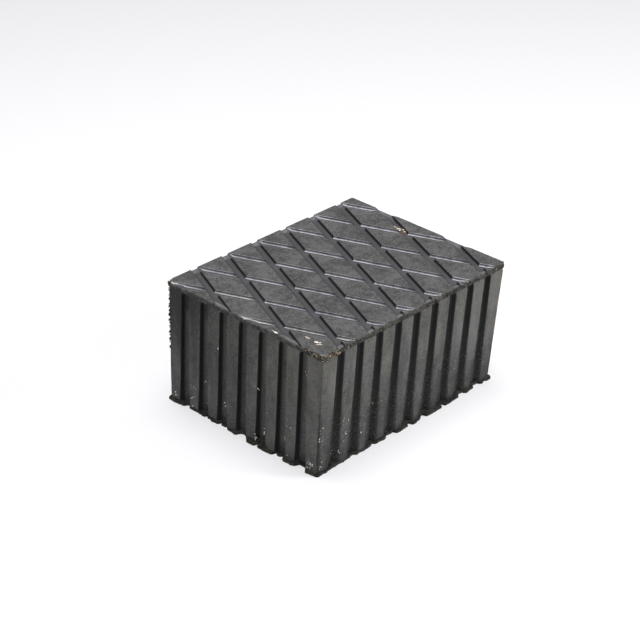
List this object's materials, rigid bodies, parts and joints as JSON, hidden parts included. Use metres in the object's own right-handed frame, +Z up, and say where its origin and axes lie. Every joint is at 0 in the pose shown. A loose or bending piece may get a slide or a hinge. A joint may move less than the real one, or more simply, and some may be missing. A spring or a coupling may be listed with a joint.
{
  "type": "jack rubber pad",
  "caption": "Solid rubber block that goes between a lifting jack and a load, with a diamond tread on top and tapering ribs down all four sides.",
  "frame": {"origin": "centre of the flat foot that the block stands on", "axes": "+X along the long side, +Y along the short side, +Z up towards the diamond tread"},
  "size_m": [0.16, 0.12, 0.08],
  "materials": {
    "rubber": "charcoal moulded rubber, satin on the tread and matt on the ribs"
  },
  "bodies": {
    "root": {"rubber_block": "rubber"}
  },
  "joints": []
}
